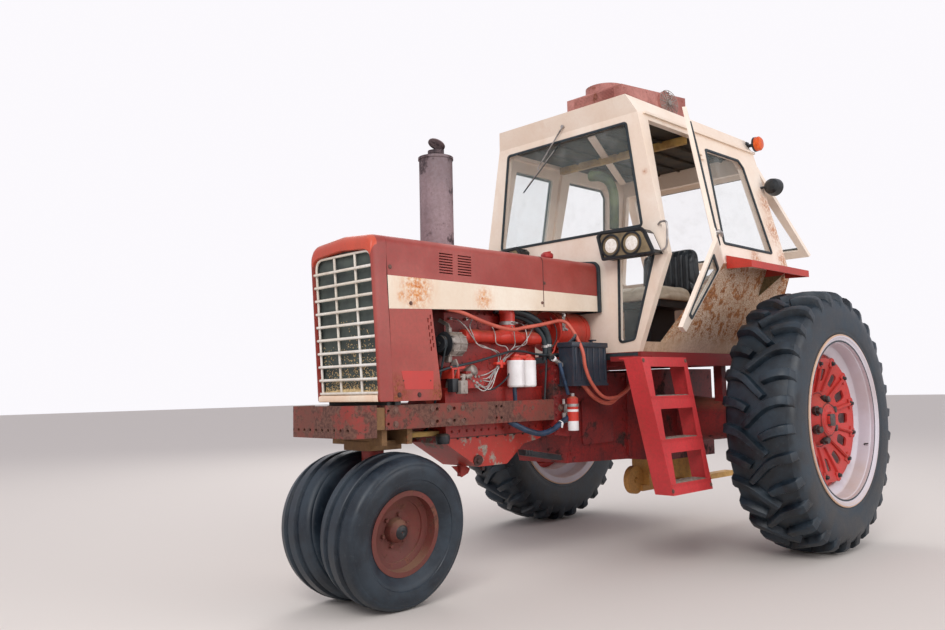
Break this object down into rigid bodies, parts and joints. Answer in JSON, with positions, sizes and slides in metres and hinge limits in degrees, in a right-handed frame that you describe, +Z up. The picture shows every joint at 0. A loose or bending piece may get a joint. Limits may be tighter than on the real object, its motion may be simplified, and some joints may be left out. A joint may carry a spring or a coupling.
{
  "type": "farm tractor with cab and narrow front axle",
  "caption": "Row-crop farm tractor with paired front wheels close together, an open engine bay, a boxy cab with hinged doors, a side ladder and large lugged rear tyres.",
  "frame": {"origin": "bottom centre of the whole, on the ground", "axes": "+Z up, +Y from the nose to the rear, +X towards the driver's left"},
  "size_m": [2.66, 4.029, 3.075],
  "materials": {
    "hood_red": "faded red enamel with rust at the seams",
    "panel_red": "red enamel, patched",
    "stripe_white": "white enamel with rust stains",
    "grille_white": "chipped white paint",
    "core_black": "dark radiator fins",
    "rail_rust": "worn red paint on steel, rust showing",
    "bolster_tan": "dusty cast iron",
    "engine_red": "oily red paint on castings",
    "pan_red": "peeling red over grey",
    "muffler_grey": "heat faded grey with soot",
    "alternator_alu": "dusty cast aluminium",
    "filter_white": "white enamel cans",
    "drum_red": "red enamel",
    "box_black": "blue black enamel",
    "case_red": "oil darkened red on cast iron",
    "drawbar_yellow": "yellow paint",
    "platform_red": "red enamel",
    "ladder_red": "bright red enamel, worn treads",
    "cab_cream": "cream enamel, chalky, rust at the edges",
    "lower_rust": "cream enamel, heavily rust speckled",
    "fender_red": "red enamel",
    "unit_rust": "oxidised red housing",
    "glass": "tinted safety glass",
    "lamp_mixed": "black rimmed lamp housing",
    "amber": "amber lens and black lamp",
    "seat_vinyl": "black vinyl",
    "seat_cream": "pale vinyl",
    "seat_frame": "black enamel",
    "column_black": "black, worn",
    "tyre": "worn rubber",
    "front_rim_red": "rusty red",
    "rim_grey": "pale grey, rust in the well",
    "disc_red": "red enamel"
  },
  "bodies": {
    "chassis": {"front_bracket": "rail_rust", "side_rails": "rail_rust", "front_bolster": "bolster_tan", "radiator": "core_black", "nose_shell": "hood_red", "grille": "grille_white", "hood": "hood_red", "stripe_panels": "stripe_white", "nose_side_panels": "panel_red", "engine": "engine_red", "oil_pan": "pan_red", "intake_manifold": "drum_red", "muffler": "muffler_grey", "alternator": "alternator_alu", "fuel_filters": "filter_white", "injection_pump": "engine_red", "air_cleaner": "drum_red", "battery_box": "box_black", "starting_fluid_can": "drum_red", "transmission_case": "case_red", "rear_axle_housings": "case_red", "drawbar": "drawbar_yellow", "platform": "platform_red", "ladder": "ladder_red", "cab_front": "cab_cream", "cab_rear": "cab_cream", "cab_sides": "cab_cream", "lower_sides": "lower_rust", "fenders": "fender_red", "headlamps": "lamp_mixed", "roof": "cab_cream", "roof_unit": "unit_rust", "cab_glass": "glass", "cab_lamps": "amber", "seat_base": "seat_frame", "seat_cushion": "seat_cream", "seat_back": "seat_vinyl", "steering_column": "column_black"},
    "front_steering": {"front_pedestal": "bolster_tan"},
    "rear_window": {"rear_window_frame": "cab_cream", "rear_window_glass": "glass"},
    "front_wheel_left": {"front_tyre_left": "tyre", "front_rim_left": "front_rim_red"},
    "rear_wheel_left": {"rear_tyre_left": "tyre", "rear_rim_left": "rim_grey", "rear_disc_left": "disc_red"},
    "door_left": {"door_left": "cab_cream", "door_glass_left": "glass"},
    "front_wheel_right": {"front_tyre_right": "tyre", "front_rim_right": "front_rim_red"},
    "rear_wheel_right": {"rear_tyre_right": "tyre", "rear_rim_right": "rim_grey", "rear_disc_right": "disc_red"},
    "door_right": {"door_right": "cab_cream", "door_glass_right": "glass"}
  },
  "joints": [
    {"name": "steering_swivel", "type": "hinge", "parent": "chassis", "child": "front_steering", "pos_m": [0, -1.64229, 0.37557], "axis": [0, 0, 1], "range_deg": [-50, 50]},
    {"name": "front_wheel_left_spin", "type": "hinge", "parent": "front_steering", "child": "front_wheel_left", "pos_m": [0.167, -1.64229, 0.37557], "axis": [0.9936, 0, -0.1132], "continuous": true},
    {"name": "rear_wheel_left_spin", "type": "hinge", "parent": "chassis", "child": "rear_wheel_left", "pos_m": [1.115, 1.00671, 0.815], "axis": [1, 0, 0], "continuous": true},
    {"name": "front_wheel_right_spin", "type": "hinge", "parent": "front_steering", "child": "front_wheel_right", "pos_m": [-0.167, -1.64229, 0.37557], "axis": [0.9936, 0, 0.1132], "continuous": true},
    {"name": "rear_wheel_right_spin", "type": "hinge", "parent": "chassis", "child": "rear_wheel_right", "pos_m": [-1.115, 1.00671, 0.815], "axis": [1, 0, 0], "continuous": true},
    {"name": "door_left_hinge", "type": "hinge", "parent": "chassis", "child": "door_left", "pos_m": [0.77, 0.63671, 1.83], "axis": [-0.1904, 0, 0.9817], "range_deg": [-26, 54]},
    {"name": "door_right_hinge", "type": "hinge", "parent": "chassis", "child": "door_right", "pos_m": [-0.77, 0.63671, 1.83], "axis": [-0.1904, 0, -0.9817], "range_deg": [0, 80]},
    {"name": "rear_window_hinge", "type": "hinge", "parent": "chassis", "child": "rear_window", "pos_m": [0, 1.49585, 2.65498], "axis": [1, 0, 0], "range_deg": [-30, 8]}
  ]
}
